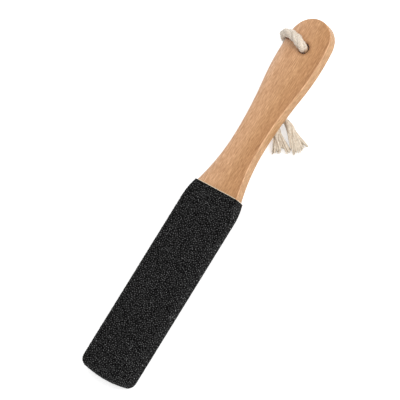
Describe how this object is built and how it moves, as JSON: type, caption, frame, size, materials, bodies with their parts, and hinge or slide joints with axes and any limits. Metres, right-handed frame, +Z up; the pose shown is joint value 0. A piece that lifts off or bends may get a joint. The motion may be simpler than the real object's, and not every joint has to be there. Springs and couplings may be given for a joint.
{
  "type": "foot file",
  "caption": "Paddle-shaped foot file: a blade wrapped in grit sheet, a slim waisted beech handle with a round head, and a twisted cord hang loop tied through the head.",
  "frame": {"origin": "on the table, under the centre of the box around the file without its cord", "axes": "+X along the file from the end of the blade towards the head of the handle, +Z up, with the front (coarse) face up, +Y to the left of someone who looks along +X. The file lies as it rests: on the end of its blade and on the knot of its cord, so its faces lean 3.2 degrees, handle up."},
  "size_m": [0.2602, 0.049, 0.03],
  "materials": {
    "beech": "fine-sanded, waxed beech",
    "grit_sheet": "black mineral grit on a stiff backing",
    "adhesive_film": "clear bonding film",
    "cotton_cord": "undyed twisted cotton"
  },
  "bodies": {
    "root": {"beech_paddle": "beech", "front_film": "adhesive_film", "back_film": "adhesive_film", "edge_film": "adhesive_film", "front_coarse_sheet": "grit_sheet", "back_fine_sheet": "grit_sheet", "edge_strip": "grit_sheet", "cord_front_strand": "cotton_cord", "cord_back_strand": "cotton_cord", "cord_knot": "cotton_cord", "cord_right_tail": "cotton_cord", "cord_left_tail": "cotton_cord"}
  },
  "joints": []
}
